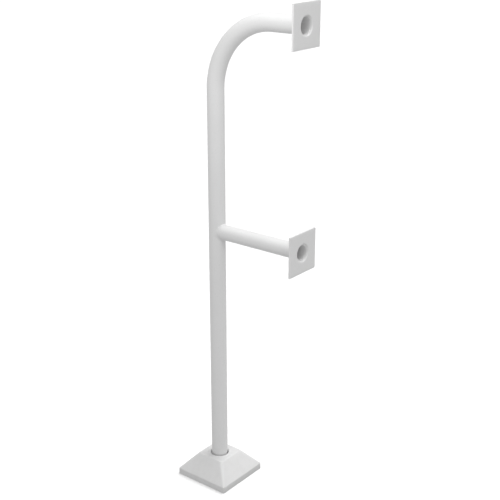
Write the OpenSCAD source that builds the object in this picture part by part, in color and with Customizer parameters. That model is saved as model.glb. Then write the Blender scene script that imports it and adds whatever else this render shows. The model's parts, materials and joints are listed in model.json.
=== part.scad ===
// Dual-height gooseneck pedestal: a post that holds gate-control devices at two heights.
// Origin on the post axis at the floor, both arms along +X, +Z up. Millimetres.

/* [Post and gooseneck] */
// Outside diameter of the bent post tube
post_d = 63.5; // [50:0.5:70]
// Wall thickness of the post tube
post_wall = 3.05; // [2:0.05:5]
// Height of the upper plate's centre above the floor
upper_h = 1829; // [1500:1:2200]
// Centreline radius of the gooseneck bend
bend_r = 254; // [150:1:300]
// Distance from the post axis to the front face of either plate
reach = 394; // [340:1:450]

/* [Lower arm] */
// Outside diameter of the straight lower arm
arm_d = 57; // [40:0.5:58]
// Wall thickness of the lower arm
arm_wall = 2; // [1.5:0.1:4]
// Height of the lower plate's centre above the floor
lower_h = 1041; // [800:1:1200]

/* [Device plates] */
// Side of each square plate
plate_w = 152.4; // [130:0.1:180]
// Thickness of each plate
plate_t = 6.35; // [5:0.05:10]
// Radius of the plate corners
plate_corner_r = 1.5; // [0.5:0.5:10]
// Diameter of the cable hole at the plate's back, a little less than the post's
hole_d = 62; // [58:0.5:62.5]
// Diameter of the cable hole where it opens at the plate's front face
hole_mouth_d = 70; // [66:1:80]
// Depth of the bevel round the cable hole
hole_bevel_t = 5; // [2:0.5:5]

/* [Base plate] */
// Side of the square base plate
base_plate_w = 203; // [180:1:215]
// Thickness of the base plate
base_plate_t = 12.7; // [8:0.1:16]
// Corner radius of the base plate
base_corner_r = 8; // [3:1:15]
// Distance between neighbouring anchor holes
anchor_pitch = 152.4; // [140:0.1:160]
// Diameter of each anchor hole
anchor_d = 14.3; // [11:0.1:18]

/* [Base cover] */
// Side of the square cover at the floor
cover_w = 238; // [230:1:260]
// Side of the flat square on top of the cover
cover_top_w = 121; // [110:1:130]
// Height of the cover
cover_h = 92; // [80:1:110]
// Radius of the skirt's upright corners
cover_corner_r = 4; // [1:0.5:8]
// Height of the upright skirt
skirt_h = 25; // [20:1:35]
// Wall thickness of the cover
cover_wall = 3.5; // [2:0.5:5]
// Diameter of the hole that the post passes through
collar_d = 70; // [68:0.5:80]
// Thickness of the rounded lip round that hole
lip_t = 9; // [4:0.5:10]

/* [Welds] */
// Leg of the fillet behind each device plate
plate_weld = 6; // [4:0.5:8]
// Leg of the fillet at the foot of the post
foot_weld = 7; // [4:0.5:9]
// Thickness of the bead where the lower arm meets the post
saddle_weld = 4; // [2:0.5:4]

/* [Hidden] */
$fn = 96;
coat = [0.87, 0.87, 0.86];
cover_coat = [0.89, 0.89, 0.88];
weld_coat = [0.85, 0.85, 0.84];
past = 1;
post_r = post_d / 2;
bore_r = post_r - post_wall;
arm_r = arm_d / 2;
arm_bore_r = arm_r - arm_wall;
plate_back = reach - plate_t;
bend_top = upper_h;
bend_start = upper_h - bend_r;
land_t = plate_t - hole_bevel_t;
slope_h = cover_h - skirt_h;
slope_run = (cover_w - cover_top_w) / 2;
// Inner faces of the cover lie one wall thickness inside its slopes.
slope_len = sqrt(slope_h * slope_h + slope_run * slope_run);
wall_drop = cover_wall * slope_len / slope_run;

// A bar of radius r along the post's path: riser, quarter bend, then level to the plate.
module gooseneck_path(r, over) {
    translate([0, 0, base_plate_t - over])
        cylinder(r = r, h = bend_start - base_plate_t + over);
    translate([bend_r, 0, bend_start])
        rotate([90, 0, 0])
            rotate([0, 0, 90])
                rotate_extrude(angle = 90)
                    translate([bend_r, 0])
                        circle(r = r);
    translate([bend_r, 0, upper_h])
        rotate([0, 90, 0])
            cylinder(r = r, h = plate_back - bend_r + over);
}

// A bar of radius r along the lower arm's axis, from the post's axis to the plate.
module lower_arm_path(r, over) {
    translate([0, 0, lower_h])
        rotate([0, 90, 0])
            cylinder(r = r, h = plate_back + over);
}

module post_tube() {
    color(coat)
        difference() {
            gooseneck_path(post_r, 0);
            gooseneck_path(bore_r, past);
            lower_arm_path(arm_bore_r, 0);
        }
}

// The arm's inner end is cut to the curve of the post's wall.
module lower_arm_tube() {
    color(coat)
        difference() {
            lower_arm_path(arm_r, 0);
            lower_arm_path(arm_bore_r, past);
            translate([0, 0, lower_h - post_d])
                cylinder(r = post_r, h = 2 * post_d);
        }
}

module rounded_square(side, r) {
    inner = side - 2 * r;
    square([side, inner], center = true);
    square([inner, side], center = true);
    for (x = [-1, 1], y = [-1, 1])
        translate([x * inner / 2, y * inner / 2])
            circle(r = r);
}

// Lies in the XY plane with its back at z = 0. The hole opens out towards the front.
module device_plate_flat() {
    difference() {
        linear_extrude(height = plate_t)
            rounded_square(plate_w, plate_corner_r);
        translate([0, 0, -past])
            cylinder(d = hole_d, h = plate_t + 2 * past);
        translate([0, 0, land_t])
            cylinder(d1 = hole_d, d2 = hole_mouth_d, h = hole_bevel_t);
    }
}

module device_plate_at(height) {
    color(coat)
        translate([plate_back, 0, height])
            rotate([0, 90, 0])
                device_plate_flat();
}

module upper_device_plate() {
    device_plate_at(upper_h);
}

module lower_device_plate() {
    device_plate_at(lower_h);
}

module base_plate() {
    color(coat)
        difference() {
            linear_extrude(height = base_plate_t)
                rounded_square(base_plate_w, base_corner_r);
            translate([0, 0, -past])
                cylinder(r = bore_r, h = base_plate_t + 2 * past);
            for (x = [-1, 1], y = [-1, 1])
                translate([x * anchor_pitch / 2, y * anchor_pitch / 2, -past])
                    cylinder(d = anchor_d, h = base_plate_t + 2 * past);
        }
}

// Side view of the cover, or of the space inside it.
module cover_profile(half_base, half_top, floor_z, skirt, top) {
    polygon([
        [-half_base, floor_z],
        [half_base, floor_z],
        [half_base, skirt],
        [half_top, top],
        [-half_top, top],
        [-half_base, skirt]
    ]);
}

// Two crossed extrusions of the side view share a square pyramid with mitred ridges.
module pyramid(half_base, half_top, floor_z, skirt, top) {
    intersection() {
        translate([0, half_base, 0])
            rotate([90, 0, 0])
                linear_extrude(height = 2 * half_base)
                    cover_profile(half_base, half_top, floor_z, skirt, top);
        translate([-half_base, 0, 0])
            rotate([90, 0, 90])
                linear_extrude(height = 2 * half_base)
                    cover_profile(half_base, half_top, floor_z, skirt, top);
    }
}

module cover_shell() {
    half_base = cover_w / 2;
    half_in = half_base - cover_wall;
    // The inner slope is the outer one lowered, so its ends are worked out from the grade.
    grade = slope_h / slope_run;
    skirt_in = skirt_h + grade * cover_wall - wall_drop;
    top_in = cover_h - cover_wall;
    half_top_in = half_in - (top_in - skirt_in) / grade;
    difference() {
        intersection() {
            pyramid(half_base, cover_top_w / 2, 0, skirt_h, cover_h);
            linear_extrude(height = cover_h)
                rounded_square(cover_w, cover_corner_r);
        }
        pyramid(half_in, half_top_in, -past, skirt_in, top_in);
        translate([0, 0, cover_h / 2])
            cylinder(d = collar_d, h = cover_h);
    }
}

// A rounded lip round the post hole, standing a little proud of the flat top.
module collar_lip() {
    translate([0, 0, cover_h - lip_t / 2 + cover_wall / 4])
        rotate_extrude()
            translate([collar_d / 2 + lip_t / 2, 0])
                circle(d = lip_t);
}

module base_cover() {
    color(cover_coat)
        union() {
            cover_shell();
            collar_lip();
        }
}

// Fillet between a tube of radius r and a flat face at z = 0, on the side above it.
module fillet_ring(r, leg) {
    rotate_extrude()
        difference() {
            translate([r, 0])
                square(leg);
            translate([r + leg, leg])
                circle(r = leg * 0.9);
        }
}

module plate_weld_at(height, r) {
    color(weld_coat)
        translate([plate_back, 0, height])
            rotate([0, -90, 0])
                fillet_ring(r, plate_weld);
}

module upper_plate_weld() {
    plate_weld_at(upper_h, post_r);
}

module lower_plate_weld() {
    plate_weld_at(lower_h, arm_r);
}

// The bead follows the line where the arm meets the post.
module lower_arm_weld() {
    reach_out = post_r + saddle_weld;
    color(weld_coat)
        difference() {
            intersection() {
                lower_arm_path(arm_r + saddle_weld, 0);
                translate([0, 0, lower_h - post_d])
                    cylinder(r = reach_out, h = 2 * post_d);
            }
            lower_arm_path(arm_r, past);
            translate([0, 0, lower_h - post_d - past])
                cylinder(r = post_r, h = 2 * post_d + 2 * past);
        }
}

module post_foot_weld() {
    color(weld_coat)
        translate([0, 0, base_plate_t])
            fillet_ring(post_r, foot_weld);
}

post_tube();
lower_arm_tube();
upper_device_plate();
lower_device_plate();
base_plate();
base_cover();
upper_plate_weld();
lower_plate_weld();
lower_arm_weld();
post_foot_weld();
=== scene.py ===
import json
import math

import bmesh
import bpy
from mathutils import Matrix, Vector, noise


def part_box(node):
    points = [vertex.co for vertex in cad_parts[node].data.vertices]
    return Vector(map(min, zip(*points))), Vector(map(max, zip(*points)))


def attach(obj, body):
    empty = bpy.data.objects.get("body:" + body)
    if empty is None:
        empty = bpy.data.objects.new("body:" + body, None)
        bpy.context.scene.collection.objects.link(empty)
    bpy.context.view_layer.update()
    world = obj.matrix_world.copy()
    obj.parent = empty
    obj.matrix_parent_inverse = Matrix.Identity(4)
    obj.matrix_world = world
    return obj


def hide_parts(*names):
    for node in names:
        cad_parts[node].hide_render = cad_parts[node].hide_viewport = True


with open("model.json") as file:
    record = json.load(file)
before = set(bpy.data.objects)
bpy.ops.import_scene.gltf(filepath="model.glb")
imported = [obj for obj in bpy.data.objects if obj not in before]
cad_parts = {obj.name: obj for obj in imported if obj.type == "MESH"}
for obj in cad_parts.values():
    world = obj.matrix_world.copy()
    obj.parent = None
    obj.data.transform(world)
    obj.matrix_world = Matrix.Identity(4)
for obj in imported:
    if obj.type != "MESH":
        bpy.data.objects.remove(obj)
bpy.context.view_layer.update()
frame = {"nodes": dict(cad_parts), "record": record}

# ---------------------------------------------------------------- sizes, in metres

# Tubes
RING = 128                 # points round a tube
BEND_STEPS = 64            # rings along the gooseneck's bend
DEBURR = 0.0011            # how far a bore is opened where cables leave it
DEBURR_DEPTH = 0.002       # and over what length
WINDOW_START = 0.004       # where the lower arm's cable way starts, from the post's axis
WINDOW_HALF = 0.04         # half the height over which the post's rings stand close together

# Device plates
SIDE_POINTS = 48           # points along each side of a square loop
EDGE_STEPS = 4             # steps round a plate's rounded edges
PLATE_EDGE = 0.0008        # rounding of the plates' edges
PLATE_CORNER = 0.0015      # and of their corners
PLATE_HOLE_R = 0.031       # cable hole at the plate's back
PLATE_MOUTH_R = 0.035      # and at its front
PLATE_LAND = 0.00135       # straight part of the hole, before it opens out
MOUTH_EDGE = 0.0006        # rounding where the cable hole's bevel meets the plate's face

# Base cover
COVER_WALL = 0.0035
COVER_FLAT_Z = 0.092       # the cover's flat top, under the lip
COVER_FLAT_HALF = 0.0605   # half of its side
COVER_SKIRT_Z = 0.025      # where the skirt ends and the slopes begin
COVER_HOLE_R = 0.035
COVER_LIP_R = 0.0045       # radius of the round bead that forms the lip
COVER_LIP_FOOT = 0.0012    # how far the lip's foot spreads over the flat top
COVER_LIP_RISE = math.radians(8)    # where the foot joins the bead, round from the flat top's level
COVER_LIP_TUCK = math.radians(80)   # how far the bead carries on under the flat top
COVER_CORNER = 0.004       # rounding of the skirt's upright corners
COVER_RIDGE_FOOT = 0.008   # rounding of the ridges just above the skirt
COVER_RIDGE = 0.013        # and where they reach the flat top
COVER_TOP_EDGE = 0.007     # rounding between the slopes and the flat top
COVER_SKIRT_EDGE = 0.003   # rounding between the skirt and the slopes
COVER_FOOT_EDGE = 0.0006   # rounding of the skirt's lower edge
COVER_INNER_CORNER = 0.0015  # rounding of the inside's corners
COVER_STEPS = 5            # steps round each of the cover's rounded edges

# Welds
RIPPLE_PITCH = 0.0034      # spacing of the ripples on a weld bead
RIPPLE_DEPTH = 0.00035     # and about their height, in the middle of its face
BEAD_ROOT = 0.0008         # how far a bead reaches into the corner that it fills
BEAD_CROWN = 0.10          # how far it bulges past a flat fillet, as a share of its leg
BEAD_UNEVEN = 0.05         # how much its leg wanders from place to place, as a share
BEAD_UNEVEN_RATE = 90.0    # and how often, per metre
BEAD_PROFILE_STEPS = 9     # steps across its face
BEAD_STEPS = 720           # cross-sections along a round bead
SADDLE_STEPS = 900         # and along the bead between the lower arm and the post

# Studio
STUDIO_SIZE = 60.0         # width of the floor and of the dome round it
HORIZON_BLEND = 0.03       # slope over which the light from below gives way to the light from above
SENSOR_WIDTH = 36.0        # in millimetres, as is the lens
CAMERA_LENS = 72.0
CAMERA_AZIMUTH = math.radians(40.4)
CAMERA_PITCH = math.radians(19.93)
CAMERA_YAW = math.radians(-1.98)
CAMERA_REACH = 3.555       # level distance from the post's axis
CAMERA_HEIGHT = 2.252


def mount_dims(name):
    """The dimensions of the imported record's mount of that name."""
    return next(m["dims"] for m in frame["record"]["mounts"] if m["name"] == name)


post_lo, post_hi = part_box("post_tube")
arm_lo, arm_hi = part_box("lower_arm_tube")
upper_lo, upper_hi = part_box("upper_device_plate")
lower_lo, lower_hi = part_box("lower_device_plate")
cover_lo, cover_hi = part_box("base_cover")
plate_weld_lo, plate_weld_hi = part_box("upper_plate_weld")
arm_weld_lo, arm_weld_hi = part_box("lower_arm_weld")
foot_weld_lo, foot_weld_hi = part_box("post_foot_weld")

post_r = -post_lo.x
post_bore_r = mount_dims("cable_inlet")["r_mm"] / 1000
post_foot = post_lo.z
upper_h = post_hi.z - post_r
bend_start = mount_dims("cable_inlet")["length_mm"] / 1000
bend_r = upper_h - bend_start
plate_back = upper_lo.x
arm_r = (arm_hi.z - arm_lo.z) / 2
arm_bore_r = mount_dims("lower_cable_outlet")["r_mm"] / 1000
lower_h = (arm_hi.z + arm_lo.z) / 2
plate_weld_leg = plate_weld_hi.x - plate_weld_lo.x
foot_weld_leg = foot_weld_hi.z - foot_weld_lo.z
arm_weld_leg = (arm_weld_hi.z - arm_weld_lo.z) / 2 - arm_r


# ---------------------------------------------------------------- materials

class Nodes:
    """A short way to write a node tree: add a node, set its inputs, and link into it."""

    def __init__(self, tree):
        self.tree = tree

    def fill(self, socket, value):
        """Links the input to a socket, or sets it to a plain value."""
        if isinstance(value, bpy.types.NodeSocket):
            self.tree.links.new(value, socket)
        else:
            socket.default_value = value

    def add(self, kind, values=None, **attributes):
        made = self.tree.nodes.new(kind)
        for name, value in attributes.items():
            setattr(made, name, value)
        for name, value in (values or {}).items():
            self.fill(made.inputs[name], value)
        return made

    def noise(self, vector, scale, detail=3.0, roughness=0.5):
        made = self.add("ShaderNodeTexNoise", {"Vector": vector, "Scale": scale, "Detail": detail,
                                               "Roughness": roughness})
        return made.outputs["Fac"]

    def ramp(self, fac, low, high, to_low=0.0, to_high=1.0):
        made = self.add("ShaderNodeMapRange", {"Value": fac, "From Min": low, "From Max": high,
                                               "To Min": to_low, "To Max": to_high})
        return made.outputs["Result"]

    def math(self, operation, a, b):
        return self.add("ShaderNodeMath", {0: a, 1: b}, operation=operation).outputs[0]

    def mix(self, fac, a, b):
        """Colour a where fac is 0, and colour b where it is 1."""
        made = self.add("ShaderNodeMix", {"Factor": fac}, data_type="RGBA")
        # A mix node's inputs 6 and 7 are its two colours.
        self.fill(made.inputs[6], a)
        self.fill(made.inputs[7], b)
        return made.outputs[2]


def blank_material(name):
    """A new material with an empty node tree, and the Nodes to fill it with."""
    material = bpy.data.materials.new(name)
    material.use_nodes = True
    material.node_tree.nodes.clear()
    return material, Nodes(material.node_tree)


def grey(value):
    return (value, value, value, 1)


def tint(shade, red, green, blue):
    """The shade with each channel scaled."""
    return (shade * red, shade * green, shade * blue, 1)


def powder_coat(name, shade, roughness=0.42, gloss=0.12, peel=1.0, grime=0.25):
    """Satin white powder coat with orange peel, faint mottling, scuffs and a little dust."""
    material, n = blank_material(name)
    place = n.add("ShaderNodeTexCoord").outputs["Object"]
    normal = n.add("ShaderNodeNewGeometry").outputs["Normal"]
    up = n.add("ShaderNodeSeparateXYZ", {"Vector": normal}).outputs["Z"]
    height = n.add("ShaderNodeSeparateXYZ", {"Vector": place}).outputs["Z"]

    # The coat's colour drifts very slightly over hand-sized patches.
    drift = n.ramp(n.noise(place, scale=9.0, detail=2.0), 0.35, 0.65)
    base = n.mix(drift, grey(shade * 0.985), grey(shade))

    # Dust lies on faces that look up, and splashes of it thin out to nothing 16 cm above the floor.
    speckle = n.ramp(n.noise(place, scale=160.0, detail=4.0, roughness=0.65), 0.42, 0.62)
    on_top = n.math("MULTIPLY", n.ramp(up, 0.55, 1.0), speckle)
    splash = n.ramp(n.noise(place, scale=45.0, detail=4.0), 0.45, 0.7)
    low_down = n.math("MULTIPLY", n.ramp(height, 0.16, 0.0), splash)
    either = n.math("MAXIMUM", n.math("MULTIPLY", on_top, 0.35), low_down)
    dust = n.math("MULTIPLY", either, grime)
    base = n.mix(dust, base, tint(shade, 0.66, 0.64, 0.6))

    # Scuffs are short and thin: a stretched noise, kept only at its peaks.
    stretched = n.add("ShaderNodeMapping", {"Vector": place, "Scale": (1.0, 1.0, 6.0)}).outputs[0]
    scuff = n.ramp(n.noise(stretched, scale=60.0, detail=5.0, roughness=0.7), 0.73, 0.8)
    base = n.mix(n.math("MULTIPLY", scuff, 0.18), base, tint(shade, 0.8, 0.79, 0.77))

    # The surface is a little rougher in patches, on scuffs and under dust.
    patches = n.ramp(n.noise(place, scale=220.0), 0.3, 0.7, roughness - 0.04, roughness + 0.05)
    rough = n.math("ADD", patches, n.math("MULTIPLY", scuff, 0.12))
    rough = n.math("ADD", rough, n.math("MULTIPLY", dust, 0.4))

    # Orange peel is a ripple of about 1.5 mm, with a finer grain on it.
    coarse = n.noise(place, scale=620.0, detail=1.5, roughness=0.4)
    fine = n.noise(place, scale=2400.0, detail=1.0, roughness=0.4)
    relief = n.math("ADD", coarse, n.math("MULTIPLY", fine, 0.3))
    bump = n.add("ShaderNodeBump", {"Strength": 0.22 * peel, "Distance": 0.00022, "Height": relief})

    shader = n.add("ShaderNodeBsdfPrincipled", {
        "Base Color": base,
        "Roughness": rough,
        "Normal": bump.outputs["Normal"],
        "IOR": 1.5,
        "Coat Weight": gloss,
        "Coat Roughness": 0.22,
    })
    n.add("ShaderNodeOutputMaterial", {"Surface": shader.outputs["BSDF"]})
    return material


def floor_material():
    """Pale seamless studio floor with a barely visible grain."""
    material, n = blank_material("studio_floor")
    place = n.add("ShaderNodeTexCoord").outputs["Object"]
    grain = n.ramp(n.noise(place, scale=35.0), 0.3, 0.7)
    colour = n.mix(grain, grey(0.865), grey(0.88))
    shader = n.add("ShaderNodeBsdfPrincipled", {
        "Base Color": colour,
        "Roughness": 0.9,
        "Specular IOR Level": 0.1,
    })
    n.add("ShaderNodeOutputMaterial", {"Surface": shader.outputs["BSDF"]})
    return material


def backdrop_material():
    """Even white that needs no light."""
    material, n = blank_material("studio_backdrop")
    glow = n.add("ShaderNodeEmission", {"Color": grey(1.0), "Strength": 1.0})
    n.add("ShaderNodeOutputMaterial", {"Surface": glow.outputs["Emission"]})
    return material


# The tubes and welds are the smoothest and glossiest. The cover's coat is matt.
POST_COAT = powder_coat("white_coat_tube", 0.66, roughness=0.3, gloss=0.25, peel=0.45, grime=0.12)
PLATE_COAT = powder_coat("white_coat_plate", 0.665, peel=0.9, grime=0.06)
COVER_COAT = powder_coat("white_coat_cover", 0.605, roughness=0.58, gloss=0.0, grime=0.12)
WELD_COAT = powder_coat("white_coat_weld", 0.66, roughness=0.32, gloss=0.25, peel=0.4, grime=0.12)
BASE_COAT = powder_coat("white_coat_base_plate", 0.68, roughness=0.5, grime=0.4)


# ---------------------------------------------------------------- mesh tools

def new_object(name, data):
    made = bpy.data.objects.new(name, data)
    bpy.context.scene.collection.objects.link(made)
    return made


def smooth_shade(mesh, sharp_angle=40.0):
    """Smooth shading, kept crisp where the surface turns by more than sharp_angle degrees."""
    bm = bmesh.new()
    bm.from_mesh(mesh)
    bmesh.ops.remove_doubles(bm, verts=bm.verts, dist=1e-7)
    bmesh.ops.recalc_face_normals(bm, faces=bm.faces)
    limit = math.radians(sharp_angle)
    for face in bm.faces:
        face.smooth = True
    for edge in bm.edges:
        edge.smooth = len(edge.link_faces) != 2 or edge.calc_face_angle(0.0) < limit
    bm.to_mesh(mesh)
    bm.free()


def loft(name, loops, material, closed=True, sharp_angle=40.0):
    """Skins a chain of equal closed loops. A closed chain joins the last loop to the first."""
    count = len(loops[0])
    verts = [tuple(p) for loop in loops for p in loop]
    faces = []
    for i in range(len(loops) if closed else len(loops) - 1):
        j = (i + 1) % len(loops)
        for k in range(count):
            m = (k + 1) % count
            faces.append((i * count + k, i * count + m, j * count + m, j * count + k))
    mesh = bpy.data.meshes.new(name)
    mesh.from_pydata(verts, [], faces)
    mesh.validate()
    smooth_shade(mesh, sharp_angle)
    mesh.materials.append(material)
    return new_object(name, mesh)


def apply_modifiers(obj):
    graph = bpy.context.evaluated_depsgraph_get()
    mesh = bpy.data.meshes.new_from_object(obj.evaluated_get(graph), depsgraph=graph)
    obj.modifiers.clear()
    obj.data = mesh


def spread(start, end, steps):
    """steps + 1 evenly spaced values from start to end."""
    return [start + (end - start) * i / steps for i in range(steps + 1)]


# ---------------------------------------------------------------- tubes

RING_ANGLES = spread(0.0, 2 * math.pi, RING)[:-1]


def post_path():
    """Frames (point, side, up) along the post: side is +Y, and up leans from -X to +Z round the bend."""
    side = Vector((0, 1, 0))
    frames = []
    # Rings stand close together only round the lower arm's window, where the wall is cut.
    below = spread(post_foot, lower_h - WINDOW_HALF, 10)[:-1]
    beside = spread(lower_h - WINDOW_HALF, lower_h + WINDOW_HALF, 16)
    above = spread(lower_h + WINDOW_HALF, bend_start, 8)[1:-1]
    for z in below + beside + above:
        frames.append((Vector((0, 0, z)), side, Vector((-1, 0, 0))))
    for t in spread(0.0, math.pi / 2, BEND_STEPS):
        outward = Vector((-math.cos(t), 0, math.sin(t)))
        frames.append((Vector((bend_r, 0, bend_start)) + outward * bend_r, side, outward))
    for x in (plate_back - DEBURR_DEPTH, plate_back):
        frames.append((Vector((x, 0, upper_h)), side, Vector((0, 0, 1))))
    return frames


def tube_ring(centre, side, up, radius):
    return [centre + side * (radius * math.cos(a)) + up * (radius * math.sin(a)) for a in RING_ANGLES]


def window_cutter():
    """A plug as wide as the arm's bore. Its end rings have no width, so they close to points."""
    past_wall = post_r * 1.5
    ends = ((WINDOW_START, 0.0), (WINDOW_START, arm_bore_r), (past_wall, arm_bore_r), (past_wall, 0.0))
    rings = [tube_ring(Vector((x, 0, lower_h)), Vector((0, 1, 0)), Vector((0, 0, 1)), r) for x, r in ends]
    return loft("window_cutter", rings, POST_COAT, closed=False)


def build_post():
    """The whole bent tube. Its wall is open at the lower arm, so that cables can turn into the arm."""
    frames = post_path()
    outside = [tube_ring(*f, post_r) for f in frames]
    bores = [post_bore_r + DEBURR] + [post_bore_r] * (len(frames) - 1)
    inside = [tube_ring(*f, r) for f, r in zip(reversed(frames), bores)]
    made = loft("post", outside + inside, POST_COAT)
    cutter = window_cutter()
    cut = made.modifiers.new("window", "BOOLEAN")
    cut.operation, cut.solver, cut.object = "DIFFERENCE", "EXACT", cutter
    apply_modifiers(made)
    smooth_shade(made.data)
    bpy.data.objects.remove(cutter)
    return made


def coped(y):
    """How far the post's surface stands from its axis along X, at that Y."""
    return math.sqrt(post_r ** 2 - y ** 2)


def arm_ring(radius, share):
    """A ring round the lower arm's axis, at that share of the way from the post's surface to the plate."""
    points = []
    for a in RING_ANGLES:
        y = radius * math.cos(a)
        x = coped(y) + (plate_back - coped(y)) * share
        points.append(Vector((x, y, lower_h + radius * math.sin(a))))
    return points


def build_lower_arm():
    """The inner end is coped to the post's curve, point by point."""
    deburr_start = 1 - DEBURR_DEPTH / (plate_back - post_r)
    shares = [0, 0.01, 0.03, 0.1, 0.3, 0.5, 0.7, 0.9, deburr_start, 1.0]
    bores = [arm_bore_r] * (len(shares) - 1) + [arm_bore_r + DEBURR]
    outside = [arm_ring(arm_r, share) for share in shares]
    inside = [arm_ring(r, share) for share, r in zip(shares, bores)]
    return loft("lower_arm", outside + inside[::-1], POST_COAT)


# ---------------------------------------------------------------- flat loops

def square_loop(half, corner):
    """Points of a rounded square, (u, v) pairs that start half-way up the +u side."""
    flat = half - corner
    # Half a side, the corner's arc, then the next half side: points bunch at the arc.
    arc = SIDE_POINTS // 3
    run = (SIDE_POINTS - arc) // 2
    rest = SIDE_POINTS - arc - run
    side = [(half, flat * i / run) for i in range(run)]
    for t in spread(0.0, math.pi / 2, arc)[:-1]:
        side.append((flat + corner * math.cos(t), flat + corner * math.sin(t)))
    side += [(flat * (1 - i / rest), half) for i in range(rest)]
    points = []
    for turn in spread(0.0, 2 * math.pi, 4)[:-1]:
        c, s = math.cos(turn), math.sin(turn)
        points += [(u * c - v * s, u * s + v * c) for u, v in side]
    return points


def circle_loop(radius, like):
    """Points of a circle, each at the same bearing as its partner in the loop given."""
    made = []
    for u, v in like:
        length = math.hypot(u, v)
        made.append((u / length * radius, v / length * radius))
    return made


def blend_loops(a, b, share):
    return [(u0 + (u1 - u0) * share, v0 + (v1 - v0) * share) for (u0, v0), (u1, v1) in zip(a, b)]


# ---------------------------------------------------------------- device plates

def device_plate(name, lo, hi):
    """A square plate with rounded edges and a cable hole that opens out towards the front."""
    half = (hi.y - lo.y) / 2
    middle = (hi.z + lo.z) / 2
    outline = square_loop(half, PLATE_CORNER)
    loops = []

    def add(points, x):
        loops.append([Vector((x, u, middle + v)) for u, v in points])

    def rim(turn):
        """The outline on the rounded edge: inset by the edge's radius at 0, full at a right angle."""
        inset = PLATE_EDGE * (1 - math.sin(turn))
        return square_loop(half - inset, PLATE_CORNER - inset)

    turns = spread(0.0, math.pi / 2, EDGE_STEPS)
    for turn in turns:
        add(rim(turn), lo.x + PLATE_EDGE * (1 - math.cos(turn)))
    for turn in reversed(turns):
        add(rim(turn), hi.x - PLATE_EDGE * (1 - math.cos(turn)))
    mouth = circle_loop(PLATE_MOUTH_R + MOUTH_EDGE, outline)
    for share in (0.25, 0.5, 0.75, 0.9):
        add(blend_loops(rim(0.0), mouth, share), hi.x)

    # The front face rolls over into the bevel.
    bevel = hi.x - lo.x - PLATE_LAND
    slope = math.atan2(bevel, PLATE_MOUTH_R - PLATE_HOLE_R)
    back = MOUTH_EDGE * math.tan(slope / 2)
    for share in spread(0.0, 1.0, EDGE_STEPS):
        radius = PLATE_MOUTH_R + MOUTH_EDGE - (MOUTH_EDGE + back) * share
        add(circle_loop(radius, outline), hi.x - back * (1 - math.cos(slope * share) + 0.5 * share))
    for share in (0.35, 0.7):
        radius = PLATE_MOUTH_R + (PLATE_HOLE_R - PLATE_MOUTH_R) * share
        add(circle_loop(radius, outline), hi.x - bevel * share)

    hole = circle_loop(PLATE_HOLE_R, outline)
    add(hole, lo.x + PLATE_LAND)
    add(hole, lo.x)
    for share in (0.1, 0.4, 0.7):
        add(blend_loops(hole, rim(0.0), share), lo.x)
    return loft(name, loops, PLATE_COAT, sharp_angle=35.0)


# ---------------------------------------------------------------- base cover

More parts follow.
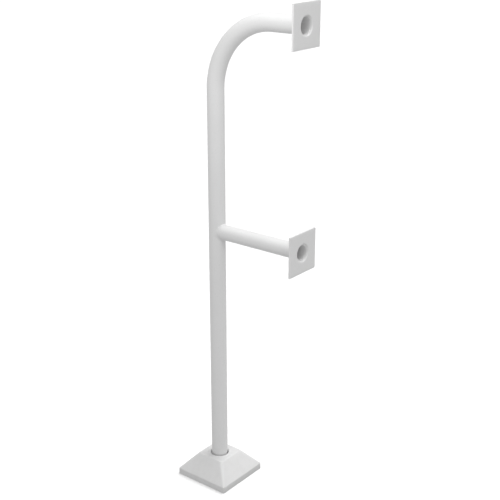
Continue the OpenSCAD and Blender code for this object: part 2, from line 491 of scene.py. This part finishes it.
def build_cover():
    """The pyramid cover as one closed skin: up the outside, over the lip, and down the inside."""
    half = (cover_hi.x - cover_lo.x) / 2
    grade = (COVER_FLAT_Z - COVER_SKIRT_Z) / (half - COVER_FLAT_HALF)
    pitch = math.atan(grade)
    loops = []

    def add(points, z):
        loops.append([Vector((u, v, z)) for u, v in points])

    # Foot of the skirt, with a small round at its outer edge.
    r = COVER_FOOT_EDGE
    for turn in spread(0.0, math.pi / 2, COVER_STEPS)[:-1]:
        add(square_loop(half - r + r * math.sin(turn), COVER_CORNER), r - r * math.cos(turn))
    # Skirt to slope: an arc tangent to both.
    r = COVER_SKIRT_EDGE
    back = r * math.tan((math.pi / 2 - pitch) / 2)
    for turn in spread(0.0, math.pi / 2 - pitch, COVER_STEPS):
        z = COVER_SKIRT_Z - back + r * math.sin(turn)
        add(square_loop(half - r + r * math.cos(turn), COVER_CORNER), z)
    # Up the slope, where the ridges grow softer.
    for share in (0.1, 0.25, 0.5, 0.75):
        corner = COVER_RIDGE_FOOT + (COVER_RIDGE - COVER_RIDGE_FOOT) * share
        z = COVER_SKIRT_Z + (COVER_FLAT_Z - COVER_SKIRT_Z) * share
        add(square_loop(half - (half - COVER_FLAT_HALF) * share, corner), z)
    # Slope to flat top: an arc tangent to both.
    r = COVER_TOP_EDGE
    back = r * math.tan(pitch / 2)
    for turn in spread(math.pi / 2 - pitch, math.pi / 2, COVER_STEPS):
        z = COVER_FLAT_Z - r + r * math.sin(turn)
        add(square_loop(COVER_FLAT_HALF - back + r * math.cos(turn), COVER_RIDGE), z)
    flat_edge = square_loop(COVER_FLAT_HALF - back, COVER_RIDGE)

    # The lip is a round bead that stands a little proud of the flat top, with a soft foot.
    lip_z = cover_hi.z - COVER_LIP_R
    lip_middle = COVER_HOLE_R + COVER_LIP_R
    foot_turn = math.asin((COVER_FLAT_Z - lip_z) / COVER_LIP_R)
    foot_radius = lip_middle + COVER_LIP_R * math.cos(foot_turn) + COVER_LIP_FOOT
    lip_foot = circle_loop(foot_radius, flat_edge)
    for share in (0.3, 0.6, 0.85, 1.0):
        add(blend_loops(flat_edge, lip_foot, share), COVER_FLAT_Z)
    over = spread(foot_turn + COVER_LIP_RISE, math.pi, 12)
    under = spread(math.pi, math.pi + COVER_LIP_TUCK, 4)[1:]
    for turn in over + under:
        radius = lip_middle + COVER_LIP_R * math.cos(turn)
        add(circle_loop(radius, flat_edge), lip_z + COVER_LIP_R * math.sin(turn))

    # Underside of the top, then down inside the slope and the skirt.
    half_in = half - COVER_WALL
    skirt_in = COVER_SKIRT_Z + grade * COVER_WALL - COVER_WALL / math.cos(pitch)
    top_in = COVER_FLAT_Z - COVER_WALL
    top_half_in = half_in - (top_in - skirt_in) / grade
    inner_edge = square_loop(top_half_in, COVER_INNER_CORNER)
    inner_ring = circle_loop(COVER_HOLE_R + COVER_LIP_R * 1.6, inner_edge)
    for share in (0.0, 0.4, 0.7, 1.0):
        add(blend_loops(inner_ring, inner_edge, share), top_in)
    add(square_loop((half_in + top_half_in) / 2, COVER_INNER_CORNER), (top_in + skirt_in) / 2)
    add(square_loop(half_in, COVER_INNER_CORNER), skirt_in)
    add(square_loop(half_in, COVER_INNER_CORNER), 0.0)
    return loft("base_cover_shell", loops, COVER_COAT, sharp_angle=38.0)


# ---------------------------------------------------------------- welds

def bead(name, path, leg):
    """A convex fillet with laid ripples along a closed path of (corner, toward_a, toward_b)."""
    count = len(path)
    lengths = [0.0]
    for i in range(count):
        lengths.append(lengths[-1] + (path[(i + 1) % count][0] - path[i][0]).length)
    ripples = max(1, round(lengths[-1] / RIPPLE_PITCH))
    loops = []
    for i, (corner, a, b) in enumerate(path):
        wave = lengths[i] / lengths[-1] * ripples % 1.0
        # Each ripple rises slowly and drops fast, and each differs a little from the next.
        lay = (wave ** 1.6) * (1 - wave) * 3.0
        uneven = noise.noise(corner * BEAD_UNEVEN_RATE)
        size = leg * (1 + BEAD_UNEVEN * uneven) + RIPPLE_DEPTH * (lay - 0.5)
        bulge = (a + b).normalized() * (size * BEAD_CROWN + RIPPLE_DEPTH * lay)
        loop = [corner - (a + b) * BEAD_ROOT]
        for s in spread(0.0, 1.0, BEAD_PROFILE_STEPS):
            loop.append(corner + a * size * (1 - s) + b * size * s + bulge * math.sin(math.pi * s))
        loops.append(loop)
    return loft(name, loops, WELD_COAT, sharp_angle=60.0)


def ring_bead(name, centre, axis, radius, leg):
    """Fillet round a tube that stands on a flat face. The axis points away from the face."""
    axis = Vector(axis)
    side = Vector((0, 1, 0))
    up = axis.cross(side)
    path = []
    for t in spread(0.0, 2 * math.pi, BEAD_STEPS)[:-1]:
        out = side * math.cos(t) + up * math.sin(t)
        path.append((Vector(centre) + out * radius, out, axis))
    return bead(name, path, leg)


def build_saddle_bead():
    """The bead where the lower arm meets the post, along the curve that both surfaces share."""
    path = []
    for t in spread(0.0, 2 * math.pi, SADDLE_STEPS)[:-1]:
        y, z = arm_r * math.cos(t), arm_r * math.sin(t)
        x = coped(y)
        arm_out = Vector((0, math.cos(t), math.sin(t)))
        post_out = Vector((x, y, 0)) / post_r
        along_post = (arm_out - post_out * arm_out.dot(post_out)).normalized()
        path.append((Vector((x, y, lower_h + z)), along_post, Vector((1, 0, 0))))
    return bead("lower_arm_bead", path, arm_weld_leg)


# ---------------------------------------------------------------- put the object together

def place(piece, body, slot, *nodes):
    """Says which body the piece rides, and hides the CAD nodes that it stands for. The slot is not used.
    """
    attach(piece, body)
    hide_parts(*nodes)


def place_ring_bead(name, node, centre, axis, radius, leg):
    place(ring_bead(name, centre, axis, radius, leg), "pedestal", "weld_coat", node)


to_back = (-1, 0, 0)
to_top = (0, 0, 1)
upper_joint = (plate_back, 0, upper_h)
lower_joint = (plate_back, 0, lower_h)

place(build_post(), "pedestal", "post_coat", "post_tube")
place(build_lower_arm(), "pedestal", "post_coat", "lower_arm_tube")
place(device_plate("upper_plate", upper_lo, upper_hi), "pedestal", "plate_coat", "upper_device_plate")
place(device_plate("lower_plate", lower_lo, lower_hi), "pedestal", "plate_coat", "lower_device_plate")
place(build_cover(), "cover", "cover_coat", "base_cover")
place_ring_bead("upper_plate_bead", "upper_plate_weld", upper_joint, to_back, post_r, plate_weld_leg)
place_ring_bead("lower_plate_bead", "lower_plate_weld", lower_joint, to_back, arm_r, plate_weld_leg)
place_ring_bead("post_foot_bead", "post_foot_weld", (0, 0, post_foot), to_top, post_r, foot_weld_leg)
place(build_saddle_bead(), "pedestal", "weld_coat", "lower_arm_weld")

for material_slot in frame["nodes"]["base_plate"].material_slots:
    material_slot.material = BASE_COAT


# ---------------------------------------------------------------- floor, light and camera

def stage_object(name, bm, material):
    """A part of the studio. The camera sees it, but it sends the object no light and no shadow."""
    mesh = bpy.data.meshes.new(name)
    bm.to_mesh(mesh)
    bm.free()
    mesh.materials.append(material)
    made = new_object(name, mesh)
    made.visible_diffuse = made.visible_glossy = made.visible_transmission = False
    made.visible_volume_scatter = made.visible_shadow = False


def build_floor():
    """One wide plane at the object's foot."""
    bm = bmesh.new()
    bmesh.ops.create_grid(bm, x_segments=8, y_segments=8, size=STUDIO_SIZE / 2)
    stage_object("studio_floor", bm, floor_material())


def build_backdrop():
    """A white dome round the floor."""
    bm = bmesh.new()
    bmesh.ops.create_uvsphere(bm, u_segments=64, v_segments=32, radius=STUDIO_SIZE / 2)
    stage_object("studio_backdrop", bm, backdrop_material())


def toward(azimuth, elevation):
    """The direction from the object to where a camera or light stands. At azimuth 0 that is -Y."""
    level = math.cos(elevation)
    return Vector((math.sin(azimuth) * level, -math.cos(azimuth) * level, math.sin(elevation)))


def face_away(made, back):
    """Turns a camera or light so that it looks along the opposite of back."""
    made.rotation_mode = "QUATERNION"
    made.rotation_quaternion = back.to_track_quat("Z", "Y")


def sun(name, azimuth, elevation, strength, softness):
    """A broad distant light. Its three angles are in degrees."""
    data = bpy.data.lights.new(name, "SUN")
    data.energy = strength
    data.angle = math.radians(softness)
    made = new_object(name, data)
    face_away(made, toward(math.radians(azimuth), math.radians(elevation)))


def softbox(name, stand, target, size, power):
    """A square light close to one arm, so that it lights the arm more than the base."""
    data = bpy.data.lights.new(name, "AREA")
    data.shape, data.size, data.energy = "SQUARE", size, power
    made = new_object(name, data)
    made.location = stand
    made.visible_camera = False
    face_away(made, Vector(stand) - Vector(target))


def build_world(above, below):
    """Even light from the room above, and the light that a pale floor would give back below."""
    world = bpy.data.worlds.new("studio")
    world.use_nodes = True
    world.node_tree.nodes.clear()
    n = Nodes(world.node_tree)
    direction = n.add("ShaderNodeTexCoord").outputs["Generated"]
    slope = n.add("ShaderNodeSeparateXYZ", {"Vector": direction}).outputs["Z"]
    strength = n.ramp(slope, -HORIZON_BLEND, HORIZON_BLEND, below, above)
    light = n.add("ShaderNodeBackground", {"Color": grey(1.0), "Strength": strength})
    n.add("ShaderNodeOutputWorld", {"Surface": light.outputs["Background"]})
    bpy.context.scene.world = world


def build_camera():
    data = bpy.data.cameras.new("camera")
    data.lens = CAMERA_LENS
    data.sensor_width = SENSOR_WIDTH
    data.clip_end = 200.0
    made = new_object("camera", data)
    made.location = toward(CAMERA_AZIMUTH, 0.0) * CAMERA_REACH + Vector((0, 0, CAMERA_HEIGHT))
    face_away(made, toward(CAMERA_AZIMUTH + CAMERA_YAW, CAMERA_PITCH))
    bpy.context.scene.camera = made


build_floor()
build_backdrop()
sun("overhead_light", azimuth=163, elevation=71, strength=1.83, softness=40)
sun("front_light", azimuth=62, elevation=15, strength=0.32, softness=50)
softbox("upper_softbox", stand=(0.5, -1.35, 3.5), target=(0.25, 0.0, 1.7), size=0.9, power=10.6)
softbox("lower_softbox", stand=(0.45, -0.75, 2.2), target=(0.2, 0.0, 1.05), size=0.5, power=3.6)
build_world(above=0.67, below=0.65)
build_camera()
bpy.context.scene.view_settings.view_transform = "Standard"
bpy.context.scene.view_settings.look = "None"
